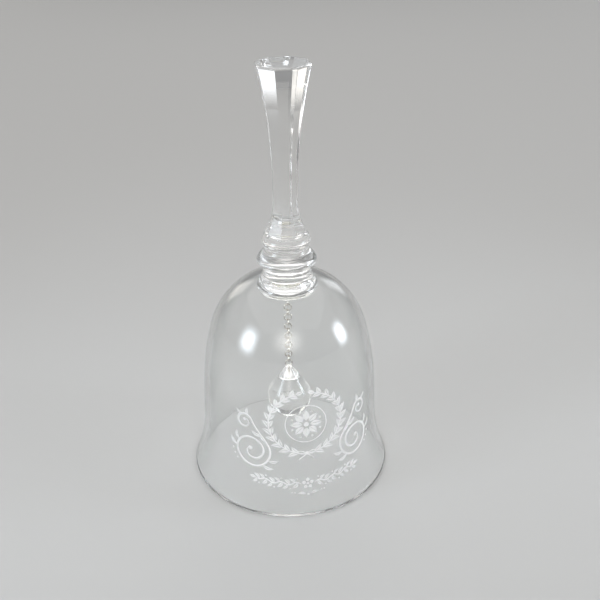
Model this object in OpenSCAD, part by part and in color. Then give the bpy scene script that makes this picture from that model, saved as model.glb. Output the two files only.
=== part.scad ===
// Clear glass table bell with an eight-sided stem handle.
// A thin glass bowl stands mouth down on its rim. The handle is fused through the crown
// into a round glass boss, and a chain of wire rings under the boss carries a glass drop.
// Millimetres, +Z up, origin at the centre of the rim on the surface the bell stands on.

/* [Overall] */
// Height from the rim to the top of the handle
total_h = 154; // [140:1:170]
// Outside diameter of the flared rim
rim_d = 76; // [68:0.5:84]

/* [Bowl] */
// Thickness of the glass wall
wall = 2; // [1.6:0.1:3]
// Radius that softens the outer edge of the rim
rim_round = 0.6; // [0.3:0.1:0.9]
// Height of the flared lip
lip_h = 22; // [16:0.5:28]
// Lean of the wall at the rim, degrees from upright
lip_lean = 22; // [16:0.5:26]
// Lean of the straight part of the wall, degrees from upright
wall_lean = 3; // [1:0.5:5]
// Height of the straight part of the wall
waist_h = 14; // [8:0.5:20]
// Radius of the slow curve between wall and dome
shoulder_r = 110; // [80:1:150]
// Lean of the wall where the round dome begins, degrees from upright
dome_lean = 15.2; // [12:0.1:18]

/* [Crown boss] */
// Diameter of the round glass boss under the crown
boss_d = 21.4; // [19:0.1:24]
// Thickness of the boss, whose edge is fully rounded
boss_t = 4.2; // [3:0.1:6]
// Height of the top face of the boss
boss_top_z = 77.6; // [76:0.1:79]

/* [Handle] */
// Distance across opposite flats at the top of the handle
top_w = 17.6; // [14:0.1:22]
// Distance across opposite flats at the slimmest place
waist_w = 8.2; // [6:0.1:12]
// Height where the slim part starts to widen upward
waist_top_z = 112; // [108:0.5:118]
// Height where the slim part starts to widen downward
waist_low_z = 108; // [104:0.5:110]
// Radius of the lower flare of the eight flats
foot_flare_r = 24; // [18:0.5:30]
// Height where the lower flare sinks into the upper knop
foot_z = 96.3; // [95.5:0.1:97]
// Small bevel around the top face
top_bevel = 0.45; // [0.2:0.05:1]
// Diameter of the upper knop
knop_a_d = 17.2; // [15:0.1:20]
// Height of the widest line of the upper knop
knop_a_z = 93.6; // [92.5:0.1:94.5]
// Diameter of the groove between the knops
groove_d = 15.5; // [13:0.1:16.5]
// Height of the groove
groove_z = 91.2; // [90.8:0.1:91.6]
// Diameter of the lower knop
knop_b_d = 21.4; // [19:0.1:24]
// Height of the widest line of the lower knop
knop_b_z = 86.2; // [85.6:0.1:86.8]
// Diameter of the neck that passes through the crown
neck_d = 17.5; // [15:0.1:19]

/* [Hanger] */
// Diameter of the clear cement pad under the boss
pad_d = 7.4; // [6:0.1:10]
// Height of the cement pad
pad_h = 2.6; // [1.5:0.1:4]
// Diameter of the metal disc set in the pad
disc_d = 6.2; // [5:0.1:8]
// Thickness of the metal disc
disc_t = 0.6; // [0.4:0.1:1]
// Diameter of the pins of both wire eyes
pin_d = 0.5; // [0.4:0.05:0.8]
// Height of the centre of the hanger eye
eye_z = 68.1; // [67.5:0.05:68.6]

/* [Chain] */
// Number of wire rings in the chain
link_count = 12; // [12:1:12]
// Diameter of the wire
wire_d = 0.5; // [0.4:0.05:0.6]
// Diameter of a ring measured at the middle of the wire
ring_d = 2.58; // [2.3:0.02:3]
// Free play between two linked rings
play = 0.08; // [0.05:0.01:0.15]

/* [Clapper] */
// Diameter of the glass drop
drop_d = 16.8; // [14:0.1:20]
// Height of the glass drop
drop_h = 21.3; // [18:0.1:24]
// Diameter of the flat tip of the drop
drop_tip_d = 2.6; // [2:0.1:4]
// Depth of the pin hole in the tip
drop_bore = 3.2; // [2:0.1:5]

/* [Hidden] */
rim_r = rim_d / 2;
neck_r = neck_d / 2;
// centre of the rounded outer edge of the rim
edge_c = [rim_r - rim_round, rim_round];
// lip: an arc that opens outward, centre outside the bell
lip_r = (lip_h - rim_round) / (sin(lip_lean) - sin(wall_lean));
lip_start = edge_c + rim_round * [cos(lip_lean), sin(lip_lean)];
lip_c = lip_start + lip_r * [cos(lip_lean), sin(lip_lean)];
lip_end = lip_c - lip_r * [cos(wall_lean), sin(wall_lean)];
// straight wall, then the slow shoulder arc, then a sphere centred on the axis
waist_end = lip_end + waist_h * [-tan(wall_lean), 1];
shoulder_c = waist_end - shoulder_r * [cos(wall_lean), sin(wall_lean)];
shoulder_end = shoulder_c + shoulder_r * [cos(dome_lean), sin(dome_lean)];
dome_r = shoulder_end[0] / cos(dome_lean);
dome_z = shoulder_end[1] - dome_r * sin(dome_lean);
// the inside of the lip meets the small inner bevel of the rim here
inner_edge_z = 0.5;
inner_lip_a = asin((lip_c[1] - inner_edge_z) / (lip_r + wall));
inner_edge_r = lip_c[0] - (lip_r + wall) * cos(inner_lip_a);
// handle flare radius that joins the slim part to the top width
top_rise = total_h - waist_top_z;
top_spread = (top_w - waist_w) / 2;
top_flare_r = (top_rise * top_rise + top_spread * top_spread) / (2 * top_spread);
top_flare_a = asin((top_rise - top_bevel) / top_flare_r);
foot_a = asin((waist_low_z - foot_z) / foot_flare_r);
// hanger, chain and clapper heights
boss_z = boss_top_z - boss_t;
pad_z = boss_z - pad_h;
disc_z = pad_z - disc_t;
pitch = ring_d - wire_d - play;
ring_r = ring_d / 2;
drop_eye_z = eye_z - pitch * (link_count + 1);
drop_top_z = drop_eye_z - ring_r - wire_d / 2;
drop_r = drop_d / 2;
drop_z = drop_top_z - drop_h + drop_r;
drop_side_a = asin(drop_r / norm([drop_tip_d / 2, drop_top_z - drop_z]))
    - atan(drop_tip_d / 2 / (drop_top_z - drop_z));
glass = [0.86, 0.9, 0.92, 0.45];
silver = [0.78, 0.77, 0.74];

// points on an arc around c from angle a0 to a1 in n steps
function arc(c, r, a0, a1, n) =
    [for (i = [0:n]) c + r * [cos(a0 + (a1 - a0) * i / n), sin(a0 + (a1 - a0) * i / n)]];

// flipped copy of an outline for the other side of the axis, in reverse order
function flip(p) = [for (i = [len(p) - 1:-1:0]) [-p[i][0], p[i][1]]];

// glass bowl: flared lip, straight wall, shoulder and dome around the neck hole
module bell_body() {
    outer = concat(
        arc(edge_c, rim_round, -90, lip_lean, 4),
        arc(lip_c, lip_r, 180 + lip_lean, 180 + wall_lean, 7),
        arc(shoulder_c, shoulder_r, wall_lean, dome_lean, 4),
        arc([0, dome_z], dome_r, dome_lean + 3, acos(neck_r / dome_r), 10)
    );
    inner = concat(
        arc([0, dome_z], dome_r - wall, acos(neck_r / (dome_r - wall)), dome_lean, 10),
        arc(shoulder_c, shoulder_r - wall, dome_lean - 3, wall_lean, 3),
        arc(lip_c, lip_r + wall, 180 + wall_lean, 180 + inner_lip_a, 7),
        [[inner_edge_r + 0.4, 0]]
    );
    color(glass) rotate_extrude($fn = 72) polygon(concat(outer, inner));
}

// the eight flats of the stem seen from one side
module stem_side() {
    side = concat(
        [[top_w / 2 - top_bevel, total_h]],
        arc([waist_w / 2 + top_flare_r, waist_top_z], top_flare_r, 180 - top_flare_a, 180, 12),
        arc([waist_w / 2 + foot_flare_r, waist_low_z], foot_flare_r, 180, 180 + foot_a, 7),
        [[waist_w / 2 + foot_flare_r * (1 - cos(foot_a)), knop_a_z]]
    );
    rotate([90, 0, 0]) linear_extrude(height = 2 * top_w, center = true)
        polygon(concat(side, flip(side)));
}

// glass handle: eight-sided stem on two round knops and the neck through the crown
module handle() {
    knop_a = knop_a_d / 2;
    knop_b = knop_b_d / 2;
    round_part = concat(
        [[0, foot_z + 0.2]],
        arc([knop_a - 2.7, knop_a_z], 2.7, 70, 0, 5),
        arc([knop_a - 1.2, knop_a_z], 1.2, -15, -45, 2),
        [[groove_d / 2, groove_z], [groove_d / 2 + 0.4, groove_z - 1.2]],
        arc([knop_b - 1.5, knop_b_z], 1.5, 45, -50, 5),
        [[neck_r + 0.3, knop_b_z - 2.7], [neck_r, knop_b_z - 3.4],
         [neck_r, boss_top_z], [0, boss_top_z]]
    );
    color(glass) union() {
        intersection() {
            stem_side();
            rotate([0, 0, 45]) stem_side();
            rotate([0, 0, 90]) stem_side();
            rotate([0, 0, 135]) stem_side();
        }
        rotate_extrude($fn = 72) polygon(round_part);
    }
}

// round glass boss fused to the end of the neck inside the bowl
module crown_boss() {
    e = boss_t / 2;
    color(glass) rotate_extrude($fn = 72) polygon(concat(
        [[0, boss_z]],
        arc([boss_d / 2 - e, boss_z + e], e, -90, 90, 10),
        [[0, boss_top_z]]
    ));
}

// clear cement pad that holds the hanger disc, with the hole for the eye pin
module hanger_cement() {
    color([0.93, 0.92, 0.84, 0.6]) difference() {
        rotate_extrude($fn = 48) polygon(concat(
            [[0, pad_z]],
            arc([pad_d / 2 - 0.9, pad_z + 0.9], 0.9, -90, 0, 4),
            [[pad_d / 2, pad_z + 1.2], [pad_d / 2 + 0.5, boss_z], [0, boss_z]]
        ));
        translate([0, 0, pad_z - 1]) cylinder(h = 2.2, d = pin_d, $fn = 16);
    }
}

// flat metal disc under the cement pad
module hanger_disc() {
    color(silver) difference() {
        rotate_extrude($fn = 48) polygon([
            [0, disc_z], [disc_d / 2 - 0.2, disc_z], [disc_d / 2, disc_z + 0.2],
            [disc_d / 2, pad_z], [0, pad_z]
        ]);
        translate([0, 0, disc_z - 1]) cylinder(h = disc_t + 2, d = pin_d, $fn = 16);
    }
}

// one wire ring standing upright; turn 0 lies in the XZ plane, 90 in the YZ plane
module ring(z, turn) {
    translate([0, 0, z]) rotate([0, 0, turn]) rotate([90, 0, 0])
        rotate_extrude($fn = 24) translate([ring_r, 0]) circle(d = wire_d, $fn = 14);
}

// wire eye with a pin up through the disc into the cement
module hanger_eye() {
    color(silver) union() {
        ring(eye_z, 90);
        translate([0, 0, eye_z + ring_r])
            cylinder(h = pad_z + 1.2 - eye_z - ring_r, d = pin_d, $fn = 16);
    }
}

// chain ring number n, counted from the top, each a quarter turn from the last
module chain_link(n) {
    color(silver) ring(eye_z - pitch * n, n % 2 == 1 ? 0 : 90);
}

// wire eye with a pin down into the glass drop
module clapper_eye() {
    color(silver) union() {
        ring(drop_eye_z, link_count % 2 == 1 ? 90 : 0);
        translate([0, 0, drop_top_z - drop_bore])
            cylinder(h = drop_bore + wire_d / 2, d = pin_d, $fn = 16);
    }
}

// solid glass drop that strikes the bowl
module clapper() {
    color(glass) difference() {
        rotate_extrude($fn = 48) polygon(concat(
            arc([0, drop_z], drop_r, -90, drop_side_a, 14),
            [[drop_tip_d / 2, drop_top_z], [0, drop_top_z]]
        ));
        translate([0, 0, drop_top_z - drop_bore])
            cylinder(h = drop_bore + 1, d = pin_d, $fn = 16);
    }
}

bell_body();
handle();
crown_boss();
hanger_cement();
hanger_disc();
hanger_eye();
chain_link(1);  // chain_link_01
chain_link(2);  // chain_link_02
chain_link(3);  // chain_link_03
chain_link(4);  // chain_link_04
chain_link(5);  // chain_link_05
chain_link(6);  // chain_link_06
chain_link(7);  // chain_link_07
chain_link(8);  // chain_link_08
chain_link(9);  // chain_link_09
chain_link(10);  // chain_link_10
chain_link(11);  // chain_link_11
chain_link(12);  // chain_link_12
clapper_eye();
clapper();
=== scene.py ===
"""Looks for the glass table bell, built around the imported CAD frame.

The blown bowl, the handle and the boss are open surfaces that meet edge to edge. With the top of
the cement pad they close one volume of glass that has no false faces inside it. The pieces are in
millimetres, and make_mesh turns them into metres. The floor, the lamps and the camera are in
metres. Heights are above the floor, and the axis of the bell is x = y = 0.
"""

import math

import bpy
import numpy as np
from mathutils import Matrix, Vector


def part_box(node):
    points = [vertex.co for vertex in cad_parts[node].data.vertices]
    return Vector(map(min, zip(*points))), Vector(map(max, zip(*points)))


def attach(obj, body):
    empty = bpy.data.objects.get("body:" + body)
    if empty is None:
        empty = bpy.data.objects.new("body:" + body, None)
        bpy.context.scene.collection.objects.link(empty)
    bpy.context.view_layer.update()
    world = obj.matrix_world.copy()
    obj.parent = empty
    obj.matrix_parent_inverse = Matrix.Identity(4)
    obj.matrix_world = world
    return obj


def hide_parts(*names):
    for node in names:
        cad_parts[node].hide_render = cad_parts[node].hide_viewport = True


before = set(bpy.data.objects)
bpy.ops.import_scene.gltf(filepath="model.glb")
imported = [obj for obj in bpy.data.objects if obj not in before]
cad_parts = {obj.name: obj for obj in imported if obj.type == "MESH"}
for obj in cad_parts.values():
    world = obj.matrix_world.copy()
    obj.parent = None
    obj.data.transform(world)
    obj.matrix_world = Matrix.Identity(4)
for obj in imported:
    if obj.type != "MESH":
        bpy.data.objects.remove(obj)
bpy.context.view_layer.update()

MM = 0.001
TAU = 2 * math.pi
# columns of points around the glass, a whole number for each flat of the stem
SECTORS = 8
PER_SECTOR = 40
AROUND = SECTORS * PER_SECTOR
EVEN = np.arange(AROUND) * TAU / AROUND - math.pi / SECTORS
# an outline gets one more point each time it has turned by this many degrees
BEND_STEP = 5


def sin_d(a):
    return math.sin(math.radians(a))


def cos_d(a):
    return math.cos(math.radians(a))


def tan_d(a):
    return math.tan(math.radians(a))


def box_mm(node):
    """Lowest and highest corner of a CAD node in millimetres."""
    low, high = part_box(node)
    return np.array(low) / MM, np.array(high) / MM


# ---------------------------------------------------------------- bowl outline, as in the CAD
BOWL_LOW, BOWL_HIGH = box_mm("bell_body")
RIM_R = (BOWL_HIGH[0] - BOWL_LOW[0]) / 2
WALL = 2.0
EDGE_R = 0.6
LIP_H, LIP_LEAN = 22.0, 22.0
WALL_LEAN, WAIST_H = 3.0, 14.0
SHOULDER_R, DOME_LEAN = 110.0, 15.2
NECK_R = 8.75

# centre of each arc, as radius and height, and the point where each stretch ends
EDGE = np.array([RIM_R - EDGE_R, EDGE_R])
LIP_R = (LIP_H - EDGE_R) / (sin_d(LIP_LEAN) - sin_d(WALL_LEAN))
LIP = EDGE + (EDGE_R + LIP_R) * np.array([cos_d(LIP_LEAN), sin_d(LIP_LEAN)])
LIP_END = LIP - LIP_R * np.array([cos_d(WALL_LEAN), sin_d(WALL_LEAN)])
WAIST_END = LIP_END + WAIST_H * np.array([-tan_d(WALL_LEAN), 1.0])
SHOULDER = WAIST_END - SHOULDER_R * np.array([cos_d(WALL_LEAN), sin_d(WALL_LEAN)])
SHOULDER_END = SHOULDER + SHOULDER_R * np.array([cos_d(DOME_LEAN), sin_d(DOME_LEAN)])
DOME_R = SHOULDER_END[0] / cos_d(DOME_LEAN)
DOME = np.array([0.0, SHOULDER_END[1] - DOME_R * sin_d(DOME_LEAN)])


def outer_radius(z):
    """Radius of the outside of the bowl at height z."""
    if z < EDGE[1]:
        return RIM_R
    if z < LIP_END[1]:
        return LIP[0] - math.sqrt(LIP_R**2 - (z - LIP[1]) ** 2)
    if z < WAIST_END[1]:
        return LIP_END[0] - (z - LIP_END[1]) * tan_d(WALL_LEAN)
    if z < SHOULDER_END[1]:
        return SHOULDER[0] + math.sqrt(SHOULDER_R**2 - (z - SHOULDER[1]) ** 2)
    return math.sqrt(max(DOME_R**2 - (z - DOME[1]) ** 2, 0.0))


# ---------------------------------------------------------------- outlines and paths
def arc(centre, r, a0, a1, n):
    """n + 1 points on a circle from angle a0 to a1 in degrees, as radius and height."""
    angles = np.linspace(a0, a1, n + 1)
    return [np.asarray(centre) + r * np.array([cos_d(a), sin_d(a)]) for a in angles]


def angle_at(centre, point):
    """Direction from centre to point in degrees."""
    return math.degrees(math.atan2(point[1] - centre[1], point[0] - centre[0]))


def run_lengths(path):
    """Distance along a path at each of its points."""
    return np.r_[0, np.cumsum(np.hypot(*np.diff(path, axis=0).T))]


def resampled(path, count):
    """That many points at even steps along a path."""
    run = run_lengths(path)
    at = np.linspace(0, run[-1], count)
    return np.c_[np.interp(at, run, path[:, 0]), np.interp(at, run, path[:, 1])]


def smoothing(offsets):
    """Weights that add up to 1, for offsets measured in spreads."""
    weights = np.exp(-0.5 * offsets**2)
    return weights / weights.sum()


def eased(points, spread, step):
    """Resamples an outline at about that step and rounds its corners over about that spread."""
    rough = np.array(points, float)
    moved = np.hypot(*np.diff(rough, axis=0).T) > 1e-9
    rough = rough[np.r_[True, moved]]
    length = run_lengths(rough)[-1]
    count = max(int(length / (spread / 4)), 8)
    gap = length / (count - 1)
    even = resampled(rough, count)
    reach = int(3 * spread / gap)
    weights = smoothing(np.arange(-reach, reach + 1) * gap / spread)
    # the ends are carried on straight, so they stay where they are
    ahead = even[0] - (even[1:reach + 1][::-1] - even[0])
    after = even[-1] - (even[-reach - 1:-1][::-1] - even[-1])
    padded = np.vstack([ahead, even, after])
    soft = np.c_[np.convolve(padded[:, 0], weights, "valid"), np.convolve(padded[:, 1], weights, "valid")]
    soft[0], soft[-1] = even[0], even[-1]
    # denser where the outline turns
    steps = np.diff(soft, axis=0)
    heading = np.unwrap(np.arctan2(steps[:, 1], steps[:, 0]))
    bend = np.abs(np.r_[0, np.diff(heading)]) / math.radians(BEND_STEP)
    load = np.r_[0, np.cumsum(np.hypot(*steps.T) / step + bend)]
    at = np.linspace(0, load[-1], max(int(load[-1]), 8) + 1)
    return np.c_[np.interp(at, load, soft[:, 0]), np.interp(at, load, soft[:, 1])]


# ---------------------------------------------------------------- meshes
def make_mesh(name, verts, faces, smooth_deg=None):
    """An object with smooth faces. Edges sharper than smooth_deg stay sharp."""
    mesh = bpy.data.meshes.new(name)
    mesh.from_pydata([tuple(v) for v in np.asarray(verts, float) * MM], [], faces)
    mesh.validate()
    mesh.update()
    mesh.polygons.foreach_set("use_smooth", [True] * len(mesh.polygons))
    if smooth_deg:
        mesh.set_sharp_from_angle(angle=math.radians(smooth_deg))
    obj = bpy.data.objects.new(name, mesh)
    bpy.context.scene.collection.objects.link(obj)
    return obj


def ring_points(radii, angles, z):
    """Points around the axis at height z. Angle 0 is the front, -y."""
    return zip(radii * np.sin(angles), -radii * np.cos(angles), [z] * len(angles))


def grid_faces(rows, cols, offset=0, flip=False, closed=True):
    """Quads between neighbouring rows of points, closed around by default."""
    faces = []
    for i in range(rows - 1):
        a, b = offset + i * cols, offset + (i + 1) * cols
        for k in range(cols if closed else cols - 1):
            k2 = (k + 1) % cols
            quad = (a + k, a + k2, b + k2, b + k)
            faces.append(quad[::-1] if flip else quad)
    return faces


def turned(name, outline, around=AROUND, wobble=None, smooth_deg=None):
    """A surface of revolution through (radius, height) points. A radius of 0 becomes one point.

    An outline that runs down the outside of its piece gives outward normals."""
    verts, faces, starts = [], [], []
    angles = np.arange(around) * TAU / around
    for r, z in outline:
        on_axis = r < 1e-6
        starts.append((len(verts), on_axis))
        if on_axis:
            verts.append((0.0, 0.0, z))
        else:
            radii = np.full(around, r) if wobble is None else r + wobble(angles, z)
            verts.extend(ring_points(radii, angles, z))
    for (a, a_on_axis), (b, b_on_axis) in zip(starts, starts[1:]):
        for k in range(around):
            k2 = (k + 1) % around
            if a_on_axis:
                faces.append((b + k, b + k2, a))
            elif b_on_axis:
                faces.append((b, a + k2, a + k))
            else:
                faces.append((b + k, b + k2, a + k2, a + k))
    return make_mesh(name, verts, faces, smooth_deg)


WIRE_SIDES = 18
# share of the wire's radius by which its cut ends are bevelled
WIRE_BEVEL = 0.18


def swept(path, plane, radius):
    """A round wire along a flat path of (across, height) points. plane is "x" or "y"."""
    p = np.asarray(path, float)
    tangent = np.gradient(p, axis=0)
    tangent /= np.hypot(*tangent.T)[:, None]
    normal = np.c_[-tangent[:, 1], tangent[:, 0]]
    bevel = radius * WIRE_BEVEL
    verts, faces = [], []

    def ring(centre, n, r):
        start = len(verts)
        for k in range(WIRE_SIDES):
            a = TAU * k / WIRE_SIDES
            across = centre[0] + n[0] * r * math.cos(a)
            height = centre[1] + n[1] * r * math.cos(a)
            side = r * math.sin(a)
            verts.append((across, side, height) if plane == "x" else (side, across, height))
        return start

    starts = [ring(p[0] - tangent[0] * bevel, normal[0], radius - bevel)]
    starts += [ring(p[i], normal[i], radius) for i in range(len(p))]
    starts.append(ring(p[-1] + tangent[-1] * bevel, normal[-1], radius - bevel))
    for a, b in zip(starts, starts[1:]):
        for k in range(WIRE_SIDES):
            k2 = (k + 1) % WIRE_SIDES
            faces.append((a + k, a + k2, b + k2, b + k))
    faces.append(tuple(starts[0] + k for k in range(WIRE_SIDES))[::-1])
    faces.append(tuple(starts[-1] + k for k in range(WIRE_SIDES)))
    if plane == "x":
        faces = [f[::-1] for f in faces]
    return verts, faces


# ---------------------------------------------------------------- material helpers
def new_material(name):
    """A material with a Principled shader, and its node tree."""
    mat = bpy.data.materials.new(name)
    mat.use_nodes = True
    tree = mat.node_tree
    shader = tree.nodes["Principled BSDF"]
    return mat, tree, shader


def noise(tree, scale, detail=2.0, rough=0.5, distortion=0.0, stretch=None):
    """Noise in object space, so it rides with its piece. scale is per metre."""
    coord = tree.nodes.new("ShaderNodeTexCoord")
    out = coord.outputs["Object"]
    if stretch:
        mapping = tree.nodes.new("ShaderNodeMapping")
        mapping.inputs["Scale"].default_value = stretch
        tree.links.new(out, mapping.inputs["Vector"])
        out = mapping.outputs["Vector"]
    node = tree.nodes.new("ShaderNodeTexNoise")
    node.inputs["Scale"].default_value = scale
    node.inputs["Detail"].default_value = detail
    node.inputs["Roughness"].default_value = rough
    node.inputs["Distortion"].default_value = distortion
    tree.links.new(out, node.inputs["Vector"])
    return node.outputs["Fac"]


def ranged(tree, source, low, high, from_low=0.3, from_high=0.7):
    """Maps a value from one range to another and clamps it there."""
    node = tree.nodes.new("ShaderNodeMapRange")
    node.inputs["From Min"].default_value = from_low
    node.inputs["From Max"].default_value = from_high
    node.inputs["To Min"].default_value = low
    node.inputs["To Max"].default_value = high
    tree.links.new(source, node.inputs["Value"])
    return node.outputs["Result"]


def two_tone(tree, source, dark, light, at=(0.35, 0.65)):
    """A blend from one colour to another as the value goes through the range at."""
    node = tree.nodes.new("ShaderNodeValToRGB")
    ramp = node.color_ramp
    ramp.elements[0].position, ramp.elements[0].color = at[0], (*dark, 1)
    ramp.elements[1].position, ramp.elements[1].color = at[1], (*light, 1)
    tree.links.new(source, node.inputs["Fac"])
    return node.outputs["Color"]


def bumped(tree, shader, source, strength, depth):
    """Relief from a height value. depth is in metres."""
    node = tree.nodes.new("ShaderNodeBump")
    node.inputs["Strength"].default_value = strength
    node.inputs["Distance"].default_value = depth
    tree.links.new(source, node.inputs["Height"])
    tree.links.new(node.outputs["Normal"], shader.inputs["Normal"])


# ---------------------------------------------------------------- materials
def glass_material(name, ripple_scale, ripple_depth, dark, light, edge):
    """Clear lead glass: faint tint, slow ripples from the making, and thin smears and dust.

    dark and light are the ends of the tint, and edge is what it is multiplied by where the
    surface is seen at a slant: a little of that is the longer way through the glass, and the rest is
    painted shade that draws dark outlines round it."""
    mat, tree, shader = new_material(name)
    shader.inputs["Transmission Weight"].default_value = 1.0
    shader.inputs["IOR"].default_value = 1.53
    tone = two_tone(tree, noise(tree, 38, 2.0), dark, light)
    # painted shade: the colour darkens towards the outlines, where the surface is seen at a slant; only a
    # little of it is the longer way through the glass
    slant = tree.nodes.new("ShaderNodeLayerWeight")
    slant.inputs["Blend"].default_value = 0.3
    depth = two_tone(tree, slant.outputs["Facing"], (1.0, 1.0, 1.0), edge, (0.35, 1.0))
    mix = tree.nodes.new("ShaderNodeMix")
    mix.data_type, mix.blend_type = "RGBA", "MULTIPLY"
    mix.inputs["Factor"].default_value = 1.0
    # inputs 6 and 7 and output 2 are the colour ones
    tree.links.new(tone, mix.inputs[6])
    tree.links.new(depth, mix.inputs[7])
    tree.links.new(mix.outputs[2], shader.inputs["Base Color"])
    smear = noise(tree, 120, 3.0, 0.6, 0.4, (1.0, 1.0, 0.45))
    tree.links.new(ranged(tree, smear, 0.0, 0.03, 0.52, 0.8), shader.inputs["Roughness"])
    ripple = noise(tree, ripple_scale, 1.5, 0.4, 0.0, (1.0, 1.0, 0.6))
    bumped(tree, shader, ripple, 0.5, ripple_depth)
    return mat


def frost_material():
    """Etched glass: a fine white grain that scatters light and lets some of the glass show."""
    mat, tree, shader = new_material("etched_frost")
    grain = noise(tree, 9000, 2.0, 0.7)
    patch = two_tone(tree, noise(tree, 700, 2.0), (0.95, 0.955, 0.96), (0.99, 0.99, 0.99))
    tree.links.new(patch, shader.inputs["Base Color"])
    tree.links.new(ranged(tree, grain, 0.55, 0.85), shader.inputs["Roughness"])
    tree.links.new(ranged(tree, grain, 0.88, 1.0, 0.35, 0.6), shader.inputs["Alpha"])
    shader.inputs["Specular IOR Level"].default_value = 0.3
    shader.inputs["Transmission Weight"].default_value = 0.32
    bumped(tree, shader, grain, 0.6, 0.00002)
    return mat


def metal_material():
    """Bright plated wire with a slightly warm cast, dull spots and fine drawing marks."""
    mat, tree, shader = new_material("silver_wire")
    shader.inputs["Metallic"].default_value = 1.0
    spots = noise(tree, 1400, 4.0, 0.6)
    tone = two_tone(tree, spots, (0.45, 0.43, 0.39), (0.80, 0.77, 0.72), (0.32, 0.55))
    tree.links.new(tone, shader.inputs["Base Color"])
    tree.links.new(ranged(tree, noise(tree, 2600, 3.0), 0.10, 0.26), shader.inputs["Roughness"])
    bumped(tree, shader, noise(tree, 6000, 2.0, 0.6), 0.35, 0.00003)
    return mat


def disc_material():
    """Stamped metal disc: turned marks around its middle."""
    mat, tree, shader = new_material("silver_disc")
    shader.inputs["Metallic"].default_value = 1.0
    coord = tree.nodes.new("ShaderNodeTexCoord")
    wave = tree.nodes.new("ShaderNodeTexWave")
    wave.wave_type, wave.rings_direction = "RINGS", "Z"
    wave.inputs["Scale"].default_value = 1500
    wave.inputs["Distortion"].default_value = 0.6
    tree.links.new(coord.outputs["Object"], wave.inputs["Vector"])
    tone = two_tone(tree, noise(tree, 900, 3.0), (0.60, 0.57, 0.50), (0.84, 0.82, 0.77))
    tree.links.new(tone, shader.inputs["Base Color"])
    tree.links.new(ranged(tree, noise(tree, 1800, 3.0), 0.2, 0.4), shader.inputs["Roughness"])
    bumped(tree, shader, wave.outputs["Fac"], 0.25, 0.00002)
    return mat


def cement_material():
    """Clear hardened cement, a little milky and yellowed, with pinholes."""
    mat, tree, shader = new_material("clear_cement")
    shader.inputs["Transmission Weight"].default_value = 0.5
    shader.inputs["IOR"].default_value = 1.5
    cloud = two_tone(tree, noise(tree, 500, 3.0), (0.90, 0.88, 0.80), (0.98, 0.97, 0.93))
    tree.links.new(cloud, shader.inputs["Base Color"])
    tree.links.new(ranged(tree, noise(tree, 1500, 2.0), 0.18, 0.42), shader.inputs["Roughness"])
    cells = tree.nodes.new("ShaderNodeTexVoronoi")
    coord = tree.nodes.new("ShaderNodeTexCoord")
    cells.inputs["Scale"].default_value = 1800
    tree.links.new(coord.outputs["Object"], cells.inputs["Vector"])
    bumped(tree, shader, ranged(tree, cells.outputs["Distance"], 0, 1, 0.0, 0.25), 0.4, 0.00005)
    return mat


# the last colour of each is the painted shade at the outlines: strong on the bowl, slight on the solid
# glass
BOWL_GLASS = glass_material(
    "bowl_glass", 55, 0.00016, (0.970, 0.978, 0.975), (0.988, 0.992, 0.990), (0.26, 0.30, 0.30))
SOLID_GLASS = glass_material(
    "solid_glass", 130, 0.00003, (0.985, 0.989, 0.985), (0.998, 0.998, 0.996), (0.86, 0.88, 0.88))
FROST = frost_material()
METAL = metal_material()
DISC = disc_material()
CEMENT = cement_material()


def finish_piece(obj, material, body, nodes=()):
    """Gives a piece its material and body, and hides the CAD nodes it stands for."""
    obj.data.materials.append(material)
    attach(obj, body)
    if nodes:
        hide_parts(*nodes)


# ---------------------------------------------------------------- bowl
FILLET = 0.8
# where the outside of the bowl runs through the fillet into the handle's neck
JOIN_UP = DOME_R + FILLET
FILLET_C = np.array([NECK_R + FILLET, DOME[1] + math.sqrt(JOIN_UP**2 - (NECK_R + FILLET) ** 2)])
JOIN_OUT = DOME + (FILLET_C - DOME) * DOME_R / JOIN_UP
# where the inside of the bowl meets the neck
NECK_FLARE = 0.15
INNER_JOIN_R = NECK_R + NECK_FLARE
INNER_DOME_R = DOME_R - WALL
JOIN_IN = np.array([INNER_JOIN_R, DOME[1] + math.sqrt(INNER_DOME_R**2 - INNER_JOIN_R**2)])
# where the inside of the lip ends, just above the flat of the rim
INNER_EDGE_Z, INNER_CHAMFER = 0.5, 0.4
INNER_LIP_A = math.degrees(math.asin((LIP[1] - INNER_EDGE_Z) / (LIP_R + WALL)))
INNER_EDGE_R = LIP[0] - (LIP_R + WALL) * cos_d(INNER_LIP_A)

# blown glass is a little out of round: count of waves around, share, phase and turn with height
OUT_OF_ROUND = 0.025
WAVES = ((2, 1.0, 0.7, 0.05), (3, 0.6, 2.1, -0.11), (5, 0.35, 4.0, 0.19))


def out_of_round(angles, z):
    """How far the wall strays from round at height z. It fades out at the crown and the rim."""
    fade = min(1.0, max(0.0, (JOIN_IN[1] - 2 - z) / 12)) * min(1.0, (z + 2) / 10)
    waves = sum(share * np.sin(count * angles + phase + turn * z) for count, share, phase, turn in WAVES)
    return OUT_OF_ROUND * fade * waves


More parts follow.
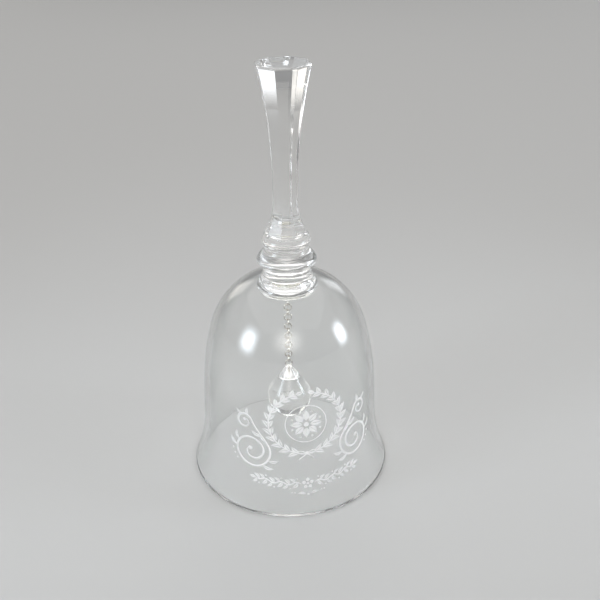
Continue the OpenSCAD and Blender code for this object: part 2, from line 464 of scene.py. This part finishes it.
def make_bowl():
    """The blown bowl: down the outside, round the rim and up the inside."""
    outside = (
        arc(DOME, DOME_R, angle_at(DOME, JOIN_OUT), DOME_LEAN, 60)
        + arc(SHOULDER, SHOULDER_R, DOME_LEAN, WALL_LEAN, 30)[1:]
        + arc(LIP, LIP_R, 180 + WALL_LEAN, 180 + LIP_LEAN, 40)
        + arc(EDGE, EDGE_R, LIP_LEAN, -90, 16)
    )
    inside = (
        [np.array([INNER_EDGE_R + INNER_CHAMFER, 0.0])]
        + arc(LIP, LIP_R + WALL, 180 + INNER_LIP_A, 180 + WALL_LEAN, 40)
        + arc(SHOULDER, SHOULDER_R - WALL, WALL_LEAN, DOME_LEAN, 30)
        + arc(DOME, INNER_DOME_R, DOME_LEAN, angle_at(DOME, JOIN_IN), 60)[1:]
    )
    bowl = turned("bowl", eased(outside + inside, 0.1, 0.9), wobble=out_of_round)
    finish_piece(bowl, BOWL_GLASS, "bell", ["bell_body"])


# ---------------------------------------------------------------- boss, pad and disc
BOSS_LOW, BOSS_HIGH = box_mm("crown_boss")
BOSS_T = BOSS_HIGH[2] - BOSS_LOW[2]
BOSS_EDGE = np.array([
    (BOSS_HIGH[0] - BOSS_LOW[0]) / 2 - BOSS_T / 2,
    (BOSS_HIGH[2] + BOSS_LOW[2]) / 2,
])
BOSS_JOIN = np.array([
    INNER_JOIN_R,
    BOSS_EDGE[1] + math.sqrt((BOSS_T / 2) ** 2 - (INNER_JOIN_R - BOSS_EDGE[0]) ** 2),
])
PAD_LOW, PAD_HIGH = box_mm("hanger_cement")
PAD_TOP_R = (PAD_HIGH[0] - PAD_LOW[0]) / 2
PAD_R = PAD_TOP_R - 0.5
PAD_CORNER = 0.9
DISC_LOW, DISC_HIGH = box_mm("hanger_disc")
DISC_R = DISC_HIGH[0]


def make_boss():
    """The glass boss. The neck closes it above and the cement pad below."""
    outline = arc(BOSS_EDGE, BOSS_T / 2, angle_at(BOSS_EDGE, BOSS_JOIN), -90, 40)
    underside = np.linspace(BOSS_EDGE[0], PAD_TOP_R, 8)[1:]
    outline += [np.array([r, BOSS_LOW[2]]) for r in underside]
    boss = turned("crown_boss_glass", outline)
    finish_piece(boss, SOLID_GLASS, "bell", ["crown_boss"])


def make_pad():
    """The cement pad: flat against the boss, and slumped in round its edge and over the disc."""
    top, low = PAD_HIGH[2], PAD_LOW[2]
    side = eased(
        [[PAD_TOP_R, top], [PAD_R + 0.18, top - 0.5], [PAD_R, low + 1.2]]
        + arc([PAD_R - PAD_CORNER, low + PAD_CORNER], PAD_CORNER, 0, -90, 10)
        + [[DISC_R + 0.1, low], [1.0, low]],
        0.12, 0.3,
    )
    outline = [np.array([r, top]) for r in np.linspace(0, PAD_TOP_R, 6)]
    outline += list(side[1:]) + [np.array([0.0, low])]
    pad = turned("cement_pad", outline)
    finish_piece(pad, CEMENT, "bell", ["hanger_cement"])


def make_disc():
    """The stamped disc: a rolled edge, and a raised middle that the eye goes through."""
    top, low = DISC_HIGH[2] - 0.01, DISC_LOW[2]
    recess = low + 0.1
    edge = eased([
        [0.6, top], [DISC_R - 0.1, top], [DISC_R, DISC_HIGH[2] - 0.1], [DISC_R, low + 0.22],
        [DISC_R - 0.2, low], [DISC_R - 0.5, low], [DISC_R - 0.75, recess], [0.9, recess],
        [0.55, low], [0.3, low]], 0.04, 0.3)
    outline = [np.array([0.0, top])] + list(edge) + [np.array([0.0, low])]
    disc = turned("hanger_disc_metal", outline, around=96, smooth_deg=40)
    finish_piece(disc, DISC, "bell", ["hanger_disc"])


# ---------------------------------------------------------------- handle
TOP_Z = box_mm("handle")[1][2]
# width of the stem across its flats, at the top and where it is narrowest
TOP_W, NARROW_W = 17.6, 8.2
# it is straight between these heights, and flares on an arc above and below them
NARROW_TOP_Z, NARROW_LOW_Z = 112.0, 108.0
FOOT_R, FOOT_Z = 24.0, 96.3
BEVEL = 0.45
CORNER_R = 0.22
# outermost point of each knop and innermost point of the groove between them
KNOP_A = np.array([17.2 / 2, 93.6])
KNOP_B = np.array([21.4 / 2, 86.2])
GROOVE = np.array([15.5 / 2, 91.2])
# radius of the upper knop above and below its outermost point, and of the lower knop
KNOP_A_ABOVE, KNOP_A_BELOW, KNOP_B_ROUND = 2.7, 1.2, 1.5
RISE, SPREAD = TOP_Z - NARROW_TOP_Z, (TOP_W - NARROW_W) / 2
FLARE_R = (RISE**2 + SPREAD**2) / (2 * SPREAD)
# the stem runs into the upper knop from this far above the knop's start to this far below it
BLEND_UP, BLEND_DOWN, BLEND_STEP = 0.35, 0.95, 0.05
BLEND_WIDTH = 0.12
# rows over which the columns move from the octagon's spacing to an even one
UNTWIST_ROWS = 10


def half_width(z):
    """Distance from the axis to a flat of the stem at height z."""
    if z > NARROW_TOP_Z:
        dz = min(z, TOP_Z - BEVEL) - NARROW_TOP_Z
        return NARROW_W / 2 + FLARE_R - math.sqrt(FLARE_R**2 - dz**2)
    dz = max(0.0, NARROW_LOW_Z - max(z, FOOT_Z))
    return NARROW_W / 2 + FOOT_R - math.sqrt(FOOT_R**2 - dz**2)


def section(half):
    """Radius and angle of each column around a rounded octagon whose flats face the axes."""
    corner = min(CORNER_R, half * 0.3)
    # columns on either side of a corner, and the rest along the flat
    bend = 7
    flat = PER_SECTOR - 2 * bend
    length = (half - corner) * math.tan(math.pi / SECTORS)
    xs, ys = [], []
    for j in range(PER_SECTOR):
        if j < bend:
            turn = -math.pi / SECTORS * (1 - j / bend)
            xs.append(half - corner + corner * math.cos(turn))
            ys.append(-length + corner * math.sin(turn))
        elif j <= bend + flat:
            xs.append(half)
            ys.append(length * (2 * (j - bend) / flat - 1))
        else:
            turn = math.pi / SECTORS * (j - bend - flat) / bend
            xs.append(half - corner + corner * math.cos(turn))
            ys.append(length + corner * math.sin(turn))
    r, a = np.hypot(xs, ys), np.arctan2(ys, xs)
    angles = np.concatenate([a + k * TAU / SECTORS for k in range(SECTORS)])
    return np.tile(r, SECTORS), angles


def smooth_max(a, b, width):
    """The larger of two values, with the corner between them rounded over that width."""
    near = np.maximum(width - np.abs(a - b), 0) / width
    return np.maximum(a, b) + near * near * width / 4


def side_arc(tip, r, a0, a1, n):
    """An arc of radius r that has its outermost point at tip."""
    return arc([tip[0] - r, tip[1]], r, a0, a1, n)


def knop_outline():
    """Both knops from the top down, and the neck as far as the fillet on the bowl."""
    return eased(
        side_arc(KNOP_A, KNOP_A_ABOVE, 70, 0, 24)
        + side_arc(KNOP_A, KNOP_A_BELOW, -15, -45, 8)
        + [GROOVE, GROOVE + [0.4, -1.2]]
        + side_arc(KNOP_B, KNOP_B_ROUND, 45, -50, 24)
        + [np.array([NECK_R + 0.3, KNOP_B[1] - 2.7]), np.array([NECK_R, KNOP_B[1] - 3.4])]
        + arc(FILLET_C, FILLET, 180, angle_at(FILLET_C, JOIN_OUT) % 360, 12),
        0.16, 0.4,
    )


def stem_rows(knop_start):
    """Height and half width of each row: the flat top, its rounded bevel, then down the stem."""
    inside = half_width(TOP_Z) - BEVEL
    rows = [(TOP_Z, share * inside) for share in (0.25, 0.5, 0.75, 0.93)]
    for a in np.linspace(0, 90, 7):
        rows.append((TOP_Z - BEVEL * (1 - cos_d(a)), inside + BEVEL * sin_d(a) * 0.9))
    coarse = np.linspace(TOP_Z - BEVEL - 0.15, knop_start + 0.4, 110)
    fine = np.arange(knop_start + BLEND_UP, knop_start - BLEND_DOWN, -BLEND_STEP)
    return rows + [(z, half_width(z)) for z in (*coarse, *fine)]


def neck_outline():
    """The short neck inside the bowl, from the crown down to the boss."""
    middle = (JOIN_IN[1] + BOSS_JOIN[1]) / 2
    half_gap = (JOIN_IN[1] - BOSS_JOIN[1]) / 2
    hollow = [
        np.array([INNER_JOIN_R + NECK_FLARE * cos_d(a), middle + half_gap * sin_d(a)])
        for a in np.linspace(90, 270, 9)[1:-1]
    ]
    return [JOIN_IN, *hollow, BOSS_JOIN]


def make_handle():
    """The handle down to the bowl, and the short neck under the crown, in one mesh."""
    knops = knop_outline()
    knop_start = knops[0, 1]
    rings = []
    for z, half in stem_rows(knop_start):
        r, a = section(half)
        if z <= knop_start:
            r = smooth_max(r, np.interp(z, knops[::-1, 1], knops[::-1, 0]), BLEND_WIDTH)
        rings.append((r, a, z))
    stem_a = rings[-1][1]
    # the knops' own rows start just under the last row of the stem
    below = [p for p in knops if p[1] < knop_start - BLEND_DOWN - 0.03]
    for i, (r, z) in enumerate(below):
        share = min(1.0, (i + 1) / UNTWIST_ROWS)
        rings.append((r, stem_a * (1 - share) + EVEN * share, z))
    verts = [(0.0, 0.0, TOP_Z)]
    for r, a, z in rings:
        verts.extend(ring_points(r, a, z))
    faces = [(0, 1 + k, 1 + (k + 1) % AROUND) for k in range(AROUND)]
    faces += grid_faces(len(rings), AROUND, 1, flip=True)
    neck = neck_outline()
    faces += grid_faces(len(neck), AROUND, len(verts), flip=True)
    for r, z in neck:
        verts.extend(ring_points(r, EVEN, z))
    handle = make_mesh("handle_glass", verts, faces, 28)
    finish_piece(handle, SOLID_GLASS, "bell", ["handle"])


# ---------------------------------------------------------------- wire rings and eyes
RINGS = 12
# half of the cut in a ring, in degrees, and the sharpest angle shaded smooth on a wire
RING_CUT, WIRE_SMOOTH = 1.6, 50
# how much shorter than in the CAD the pins are, where they end inside another piece
PIN_SHORT = 0.1


def ring_facts(node):
    """Centre height, radius at the middle of the wire, wire radius and plane of a ring."""
    low, high = box_mm(node)
    size = high - low
    plane = "x" if size[0] > size[1] else "y"
    wire = min(size[0], size[1]) / 2
    return (low[2] + high[2]) / 2, max(size[0], size[1]) / 2 - wire, wire, plane


def ring_path(z, r, cut_at):
    """Around a ring from one side of its cut to the other."""
    a = np.radians(np.linspace(cut_at + RING_CUT, cut_at + 360 - RING_CUT, 73))
    return np.c_[r * np.cos(a), z + r * np.sin(a)]


def eye_path(z, r, tip_z, up):
    """A pin that bends into a closed loop. up is 1 where the pin rises from the loop."""
    # the loop runs on until its end nearly meets the pin again
    a = np.radians(np.linspace(66, -246, 66))
    loop = np.c_[r * np.cos(a), z + up * r * np.sin(a)]
    stem = [[0.0, tip_z], [0.0, z + up * (r + 1.1)], [0.02, z + up * (r + 0.55)]]
    sharp = resampled(np.vstack([stem, loop]), 140)
    reach = 4
    weights = smoothing(np.arange(-reach, reach + 1) / 1.8)
    soft = sharp.copy()
    for c in (0, 1):
        soft[reach:-reach, c] = np.convolve(sharp[:, c], weights, "valid")
    return soft


def make_wire(name, path, plane, wire, body, node):
    """A piece of round metal wire that stands for one CAD node."""
    verts, faces = swept(path, plane, wire)
    obj = make_mesh(name, verts, faces, WIRE_SMOOTH)
    finish_piece(obj, METAL, body, [node])


def make_rings():
    """The rings of the chain, each a quarter turn from the last."""
    for n in range(1, RINGS + 1):
        node = f"chain_link_{n:02d}"
        z, r, wire, plane = ring_facts(node)
        # the cut in each ring sits at its side, away from the wires that bear on it
        cut_at = (20 if n % 2 else 160) + 7 * (n % 3)
        make_wire(f"wire_ring_{n:02d}", ring_path(z, r, cut_at), plane, wire, f"link_{n:02d}", node)


def make_eye(name, node, body, plane, up):
    """A wire eye whose loop lies in a plane, "x" or "y". up is as in eye_path."""
    low, high = box_mm(node)
    along, through = (0, 1) if plane == "x" else (1, 0)
    wire = (high[through] - low[through]) / 2
    r = (high[along] - low[along]) / 2 - wire
    loop_end, tip_end = (low[2], high[2]) if up > 0 else (high[2], low[2])
    path = eye_path(loop_end + up * (wire + r), r, tip_end - up * PIN_SHORT, up)
    make_wire(name, path, plane, wire, body, node)


# ---------------------------------------------------------------- glass drop
TIP_R = 1.3


def make_drop():
    """A ball with straight sides up to a small flat tip around the eye's pin."""
    low, high = box_mm("clapper")
    ball_r = (high[0] - low[0]) / 2
    ball = np.array([0.0, low[2] + ball_r])
    rise = high[2] - ball[1]
    # where the straight side leaves the ball, in degrees above its middle
    side_a = math.degrees(math.asin(ball_r / math.hypot(TIP_R, rise)) - math.atan(TIP_R / rise))
    outline = eased(
        [[0.25, high[2]], [TIP_R, high[2]]] + arc(ball, ball_r, side_a, -88, 90), 0.22, 0.45)
    outline = [np.array([0.0, high[2]]), *outline, np.array([0.0, low[2]])]
    drop = turned("glass_drop", outline, around=160)
    finish_piece(drop, SOLID_GLASS, "clapper", ["clapper"])


# ---------------------------------------------------------------- etched decoration
# the decoration is centred this far around from the front, and is a thin relief on the glass
ETCH_TURN = math.radians(2.5)
ETCH_LIFT, ETCH_DEPTH = 0.012, 0.05
# cross sections of a stroke, half a leaf and a dot: share of the half width, share of the depth
STROKE_SECTION = ((-1, 0), (-0.7, 0.9), (0, 1), (0.7, 0.9), (1, 0))
LEAF_SECTION = ((0, 0), (0.2, 0.9), (0.75, 0.9), (1, 0))
DOT_SECTION = ((0.7, 0.9), (1.0, 0.0))
DOT_SIDES = 14
# share of a stroke's length over which its width would grow from nothing to full
TAPER_LENGTH = 0.16


def on_bowl(u, v, lift):
    """A point of the decoration: u is the way around in mm, v the height, lift off the glass."""
    r = outer_radius(v)
    slope = (outer_radius(v + 0.05) - outer_radius(v - 0.05)) / 0.1
    n = 1 / math.hypot(1, slope)
    a = ETCH_TURN + u / r
    r2, z2 = r + lift * n, v - lift * slope * n
    return (r2 * math.sin(a), -r2 * math.cos(a), z2)


class Etching:
    """Collects flat shapes that lie on the bowl as thin crowned relief."""

    def __init__(self):
        self.verts, self.faces = [], []

    def band(self, rows):
        """rows of points (u, v, share of the depth), with the same count in each row."""
        start, cols = len(self.verts), len(rows[0])
        for row in rows:
            for u, v, h in row:
                self.verts.append(on_bowl(u, v, ETCH_LIFT + ETCH_DEPTH * h))
        self.faces += grid_faces(len(rows), cols, start, closed=False)

    def stroke(self, path, width, taper=(0.35, 0.35)):
        """A line of that width. taper gives the width share left at each end."""
        p = np.asarray(path, float)
        t = np.gradient(p, axis=0)
        t /= np.maximum(np.hypot(*t.T), 1e-9)[:, None]
        n = np.c_[-t[:, 1], t[:, 0]]
        run = run_lengths(p)
        run /= run[-1]
        ends = np.minimum(taper[0] + run / TAPER_LENGTH, taper[1] + (1 - run) / TAPER_LENGTH)
        half = width / 2 * np.minimum(1, ends)
        self.band([
            [(*(p[i] + n[i] * half[i] * c), h) for c, h in STROKE_SECTION] for i in range(len(p))
        ])

    def leaf(self, base, tip, width, bend=0.12, vein=0.09):
        """A pointed leaf in two halves with a clear vein between them."""
        base, tip = np.asarray(base, float), np.asarray(tip, float)
        along = tip - base
        length = math.hypot(*along)
        along = along / length
        across = np.array([-along[1], along[0]])
        for side in (-1, 1):
            rows = []
            for t in np.linspace(0.0, 1.0, 13):
                mid = base + along * length * t + across * bend * length * math.sin(math.pi * t)
                half = 0.0
                if 0 < t < 1:
                    half = width / 2 * math.sin(math.pi * t**0.85) ** 0.9
                inner = min(vein / 2, half)
                row = [(*(mid + across * side * (inner + (half - inner) * c)), h) for c, h in LEAF_SECTION]
                rows.append(row if side > 0 else row[::-1])
            self.band(rows)

    def dot(self, centre, radius):
        """A round dot that is highest in its middle."""
        start = len(self.verts)
        self.verts.append(on_bowl(centre[0], centre[1], ETCH_LIFT + ETCH_DEPTH))
        for share, h in DOT_SECTION:
            for k in range(DOT_SIDES):
                a = TAU * k / DOT_SIDES
                u = centre[0] + radius * share * math.cos(a)
                v = centre[1] + radius * share * math.sin(a)
                self.verts.append(on_bowl(u, v, ETCH_LIFT + ETCH_DEPTH * h))
        first, second = start + 1, start + 1 + DOT_SIDES
        for k in range(DOT_SIDES):
            k2 = (k + 1) % DOT_SIDES
            self.faces.append((start, first + k, first + k2))
            self.faces.append((first + k, second + k, second + k2, first + k2))

    def build(self, name):
        """Makes one frosted piece of all the shapes."""
        finish_piece(make_mesh(name, self.verts, self.faces), FROST, "bell")


def bezier(p0, p1, p2, p3, n=40):
    """n points along a cubic curve."""
    t = np.linspace(0, 1, n)[:, None]
    p0, p1, p2, p3 = (np.asarray(p, float) for p in (p0, p1, p2, p3))
    return (1 - t) ** 3 * p0 + 3 * (1 - t) ** 2 * t * p1 + 3 * (1 - t) * t**2 * p2 + t**3 * p3


def coil(centre, r0, r1, a0, a1, n=140):
    """A spiral that tightens more and more, and its heading at its start."""
    a = np.radians(np.linspace(a0, a1, n))
    r = r0 + (r1 - r0) * np.linspace(0, 1, n) ** 1.8
    path = np.c_[centre[0] + r * np.cos(a), centre[1] + r * np.sin(a)]
    heading = path[1] - path[0]
    return path, heading / math.hypot(*heading)


def even_steps(path, step=0.16):
    """A path with its points at even steps of about that length."""
    return resampled(path, max(int(run_lengths(path)[-1] / step), 8))


def mirrored(points, side):
    """The points as they are where side is 1, and flipped left to right where it is -1."""
    return np.asarray(points, float) * [side, 1]


def spoke(centre, r, angle):
    """The point at that distance from centre and that angle in degrees."""
    return np.asarray(centre) + r * np.array([cos_d(angle), sin_d(angle)])


WREATH_C = np.array([0.0, 37.2])
WREATH_A, WREATH_B = 13.4, 12.2


def on_wreath(angle):
    """The point on the oval of the wreath at that angle in degrees."""
    return WREATH_C + np.array([WREATH_A * cos_d(angle), WREATH_B * sin_d(angle)])


def make_branch(art, side):
    """One side of the wreath: a branch from its foot to its top, with pairs of leaves."""
    angles = np.linspace(5, 168, 120)
    art.stroke(even_steps(np.array([on_wreath(-90 + side * a) for a in angles])), 0.65)
    leaves, first, apart = 11, 13, 14.2
    for k in range(leaves):
        a = first + k * apart
        at = on_wreath(-90 + side * a)
        along = on_wreath(-90 + side * (a + 6)) - at
        along /= math.hypot(*along)
        out = (at - WREATH_C) / math.hypot(*(at - WREATH_C))
        size = 4.0 - 0.07 * k
        outer_tip = at + along * size * 0.82 + out * (0.2 + size * 0.55)
        inner_tip = at + along * size * 0.78 - out * (0.2 + size * 0.48)
        art.leaf(at + out * 0.2, outer_tip, 1.7, 0.10 * side)
        art.leaf(at - out * 0.2, inner_tip, 1.5, -0.10 * side)
    art.leaf(on_wreath(-90 + side * 166), on_wreath(-90 + side * 177) + [0.0, 0.5], 1.5, 0.0)


def make_bow(art, foot):
    """A ribbon bow with two loops and two tails."""
    art.dot(foot, 0.8)
    for side in (-1, 1):
        loop = bezier((0.4, 0.1), (3.6, 2.6), (4.6, -0.8), (0.4, -0.2))
        tail = bezier((0.3, -0.3), (0.9, -1.6), (2.2, -1.5), (3.0, -2.9))
        art.stroke(even_steps(mirrored(loop, side) + foot), 0.5)
        art.stroke(even_steps(mirrored(tail, side) + foot), 0.55)


def make_rosette(art, centre):
    """Eight petals with a dot between each two, inside a thin ring."""
    for k in range(8):
        art.leaf(spoke(centre, 1.5, k * 45), spoke(centre, 5.6, k * 45), 2.5, 0.0, 0.0)
        art.dot(spoke(centre, 5.4, k * 45 + 22.5), 0.42)
    art.dot(centre, 0.95)
    ring = np.array([spoke(centre, 7.4, a) for a in np.linspace(90, 450, 160)])
    art.stroke(ring, 0.4, (1.0, 1.0))


def make_wreath():
    """The oval wreath of leaves, the bow at its foot and the rosette in its middle."""
    art = Etching()
    for side in (-1, 1):
        make_branch(art, side)
    make_bow(art, on_wreath(-90))
    make_rosette(art, WREATH_C)
    art.build("etched_wreath")


def make_scrolls():
    """An S-scroll at each side: a wide coil low, a small one above, and leaves along it."""
    art = Etching()
    wide_c, small_c = np.array([20.0, 25.0]), np.array([22.4, 36.6])
    wide, wide_way = coil(wide_c, 6.9, 1.0, 152, 152 + 620)
    small, small_way = coil(small_c, 3.0, 0.8, 162, 162 - 430)
    link = bezier(small[0], small[0] - small_way * 3.2, wide[0] - wide_way * 3.2, wide[0])
    line = even_steps(np.vstack([small[::-1], link[1:-1], wide]))
    # base, tip, width and bend of each leaf
    leaves = (
        ((15.9, 31.8), (19.9, 33.4), 1.4, -0.15),
        ((14.6, 29.4), (16.6, 32.9), 1.2, -0.1),
        (spoke(wide_c, 6.9, 212), spoke(wide_c, 10.4, 197), 1.4, 0.15),
        (spoke(wide_c, 6.9, 236), spoke(wide_c, 10.4, 221), 1.5, 0.15),
        (spoke(wide_c, 6.3, 2), spoke(wide_c, 9.4, 20), 1.4, -0.15),
        (spoke(wide_c, 6.2, 30), spoke(wide_c, 9.0, 48), 1.2, -0.15),
        (spoke(small_c, 3.0, 118), spoke(small_c, 5.9, 104), 1.2, -0.15),
        (spoke(small_c, 2.9, 70), spoke(small_c, 5.4, 52), 1.1, -0.15),
    )
    for side in (-1, 1):
        art.stroke(mirrored(line, side), 0.85, (0.5, 0.5))
        art.dot(mirrored(wide[-1], side), 0.8)
        art.dot(mirrored(small[-1], side), 0.6)
        for base, tip, width, bend in leaves:
            art.leaf(mirrored(base, side), mirrored(tip, side), width, bend * side)
        for angle, size in ((-12, 0.42), (-27, 0.36), (-40, 0.3)):
            art.dot(mirrored(spoke(wide_c, 8.3, angle), side), size)
    art.build("etched_scrolls")


def make_garland():
    """A wavy vine with leaves and berries below the wreath, and a small spray under it."""
    art = Etching()
    reach, rise, wave, swing = 19.0, 1.6, 5.6, 0.5
    flower = np.array([0.0, 12.3])

    def at(u):
        return np.array([u, 12.4 + rise * (u / reach) ** 2 + swing * math.sin(TAU * (u - 2.8) / wave)])

    for side in (-1, 1):
        vine = np.array([at(u) for u in np.linspace(2.4, reach, 160)])
        art.stroke(even_steps(mirrored(vine, side)), 0.6)
        for k in range(6):
            u = 3.6 + k * wave / 2
            way = 1 if k % 2 else -1
            p, q = at(u), at(u + 0.9)
            art.leaf(mirrored(p, side), mirrored(p + [2.2, way * 2.1], side), 1.25, 0.12 * way * side)
            art.leaf(mirrored(q, side), mirrored(q + [2.1, -way * 1.5], side), 1.0, -0.12 * way * side)
            art.dot(mirrored(p + [0.3, -way * 1.5], side), 0.34)
        art.leaf(mirrored(at(reach), side), mirrored(at(reach) + [2.6, 0.5], side), 1.2, 0.0)
        art.leaf((side * 0.9, 8.2), (side * 3.9, 8.7), 1.1, 0.1 * side)
        art.dot((side * 4.9, 8.9), 0.36)
        art.dot((side * 6.0, 9.1), 0.28)
    for k in range(5):
        a = 90 + 72 * k
        art.leaf(spoke(flower, 0.7, a), spoke(flower, 2.4, a), 1.4, 0.0, 0.0)
    art.dot(flower, 0.5)
    art.dot((0, 8.1), 0.45)
    art.build("etched_garland")


make_bowl()
make_handle()
make_boss()
make_pad()
make_disc()
make_rings()
make_eye("hanger_eye_wire", "hanger_eye", "bell", "y", 1)
make_eye("clapper_eye_wire", "clapper_eye", "clapper", "x", -1)
make_drop()
make_wreath()
make_scrolls()
make_garland()

# ---------------------------------------------------------------- floor and camera, in metres
FLOOR_HALF = 4.0
# distance of the camera from the axis, its height and its directions in degrees
CAMERA_BACK, CAMERA_HIGH = 0.2549, 0.2085
CAMERA_TURN, CAMERA_DOWN, CAMERA_ROLL = 7.5, 28.66, 1.2
# sensor width and focal length in millimetres
SENSOR, LENS = 36, 47.9
# the picture is shifted sideways by this share of its width
SHIFT = 1 / 48


def make_floor():
    """A plain pale floor."""
    corners = [(x * FLOOR_HALF, y * FLOOR_HALF, 0) for x, y in ((-1, -1), (1, -1), (1, 1), (-1, 1))]
    mesh = bpy.data.meshes.new("floor")
    mesh.from_pydata(corners, [], [(0, 1, 2, 3)])
    floor = bpy.data.objects.new("floor", mesh)
    bpy.context.scene.collection.objects.link(floor)
    mat, _, shader = new_material("pale_floor")
    shader.inputs["Base Color"].default_value = (0.56, 0.56, 0.555, 1)
    shader.inputs["Roughness"].default_value = 0.8
    mesh.materials.append(mat)


def make_camera():
    """The view of the photograph: from above the bell, turned and rolled a little."""
    data = bpy.data.cameras.new("camera")
    data.sensor_width, data.lens, data.shift_x = SENSOR, LENS, SHIFT
    data.clip_start, data.clip_end = 0.01, 20
    cam = bpy.data.objects.new("camera", data)
    bpy.context.scene.collection.objects.link(cam)
    ahead = Vector((
        sin_d(CAMERA_TURN) * cos_d(CAMERA_DOWN),
        cos_d(CAMERA_TURN) * cos_d(CAMERA_DOWN),
        -sin_d(CAMERA_DOWN),
    ))
    right = Vector((cos_d(CAMERA_TURN), -sin_d(CAMERA_TURN), 0))
    up = right.cross(ahead)
    rolled_right = right * cos_d(CAMERA_ROLL) - up * sin_d(CAMERA_ROLL)
    rolled_up = right * sin_d(CAMERA_ROLL) + up * cos_d(CAMERA_ROLL)
    turn = Matrix((rolled_right, rolled_up, -ahead)).transposed().to_4x4()
    place = (-CAMERA_BACK * sin_d(CAMERA_TURN), -CAMERA_BACK * cos_d(CAMERA_TURN), CAMERA_HIGH)
    cam.matrix_world = Matrix.Translation(place) @ turn
    bpy.context.scene.camera = cam


# ---------------------------------------------------------------- lamps and sky, in metres
WARM_WHITE, LAMP_WHITE = (1.0, 0.975, 0.94), (1.0, 0.985, 0.965)
BELL_MIDDLE = (0, 0, 0.07)
# the back panels stand at this height and face the axis level
PANEL_AIM = (0.0, 0.0, 0.46)
# light turns round inside the knops and the rim many times before it gets out
BOUNCES = 64


def edge_fade(tree, across, feather):
    """1 inside a lamp, falling to 0 at its edge. across runs from 0 to 1 over the lamp."""
    off = tree.nodes.new("ShaderNodeMath")
    off.operation = "SUBTRACT"
    off.inputs[1].default_value = 0.5
    tree.links.new(across, off.inputs[0])
    far = tree.nodes.new("ShaderNodeMath")
    far.operation = "ABSOLUTE"
    tree.links.new(off.outputs["Value"], far.inputs[0])
    fade = tree.nodes.new("ShaderNodeMapRange")
    fade.interpolation_type = "SMOOTHSTEP"
    fade.inputs["From Min"].default_value = 0.5 * (1 - feather)
    fade.inputs["From Max"].default_value = 0.5
    fade.inputs["To Min"].default_value = 1.0
    fade.inputs["To Max"].default_value = 0.0
    tree.links.new(far.outputs["Value"], fade.inputs["Value"])
    return fade.outputs["Result"]


def soft_light(name, place, size, power, colour, aim=BELL_MIDDLE, feather=0.0, spread=180):
    """A rectangular lamp with its power in watts and its spread in degrees.

    feather is the share of its half size over which it fades to its edge."""
    data = bpy.data.lights.new(name, "AREA")
    data.shape = "RECTANGLE"
    data.size, data.size_y = size
    data.energy = power
    data.color = colour
    data.spread = math.radians(spread)
    obj = bpy.data.objects.new(name, data)
    bpy.context.scene.collection.objects.link(obj)
    place = Vector(place)
    facing = (Vector(aim) - place).to_track_quat("-Z", "Y").to_matrix().to_4x4()
    obj.matrix_world = Matrix.Translation(place) @ facing
    if feather:
        data.use_nodes = True
        tree = data.node_tree
        where = tree.nodes.new("ShaderNodeNewGeometry")
        split = tree.nodes.new("ShaderNodeSeparateXYZ")
        tree.links.new(where.outputs["Parametric"], split.inputs["Vector"])
        fade_x = edge_fade(tree, split.outputs["X"], feather)
        fade_y = edge_fade(tree, split.outputs["Y"], feather)
        both = tree.nodes.new("ShaderNodeMath")
        both.operation = "MULTIPLY"
        tree.links.new(fade_x, both.inputs[0])
        tree.links.new(fade_y, both.inputs[1])
        tree.links.new(both.outputs["Value"], tree.nodes["Emission"].inputs["Strength"])


def make_lights():
    """Soft lamps all around, with the brightest overhead."""
    soft_light("front_softbox", (-0.2, -1.5, 1.0), (2.0, 1.5), 5.4, WARM_WHITE, feather=0.9, spread=75)
    # these two give the pair of soft highlights on the bowl
    soft_light("left_softbox", (-0.47, -0.17, 0.22), (0.34, 0.46), 0.75, (0.86, 0.93, 1.0),
               feather=0.9, spread=70)
    soft_light("right_softbox", (0.487, -0.112, 0.17), (0.24, 0.34), 0.5, (0.88, 0.94, 1.0),
               feather=0.9, spread=70)
    soft_light("back_softbox", (0.3, 1.7, 1.2), (2.0, 1.2), 3.0, LAMP_WHITE, feather=0.9, spread=75)
    soft_light("ceiling", (0.0, 0.3, 3.0), (6.0, 6.0), 40.0, LAMP_WHITE, (0.0, 0.3, 0.0))
    # these two stand just out of view and brighten the flats at the sides of the stem
    soft_light("left_back_panel", (-0.79, 1.62, 0.46), (0.66, 0.94), 1.9, (1.0, 0.965, 0.90),
               PANEL_AIM, feather=0.45)
    soft_light("right_back_panel", (1.13, 1.40, 0.46), (0.54, 0.94), 1.6, (0.95, 0.975, 1.0),
               PANEL_AIM, feather=0.45)


def make_sky():
    """A plain grey room that is a little lighter overhead."""
    world = bpy.data.worlds.new("studio")
    bpy.context.scene.world = world
    world.use_nodes = True
    sky = world.node_tree
    toward = sky.nodes.new("ShaderNodeTexCoord")
    height = sky.nodes.new("ShaderNodeSeparateXYZ")
    sky.links.new(toward.outputs["Generated"], height.inputs["Vector"])
    tone = two_tone(sky, height.outputs["Z"], (0.28, 0.28, 0.282), (0.43, 0.43, 0.43), (0.0, 0.6))
    sky.links.new(tone, sky.nodes["Background"].inputs["Color"])


def set_light_paths():
    """Cycles settings for thick clear glass."""
    scene = bpy.context.scene
    scene.cycles.max_bounces = BOUNCES
    scene.cycles.transmission_bounces = BOUNCES
    scene.cycles.glossy_bounces = BOUNCES
    scene.cycles.transparent_max_bounces = 24
    # no blur on glass seen from the floor, so the floor inside the bell gets its full light
    scene.cycles.blur_glossy = 0.0
    scene.view_settings.view_transform = "Standard"


make_floor()
make_camera()
make_lights()
make_sky()
set_light_paths()
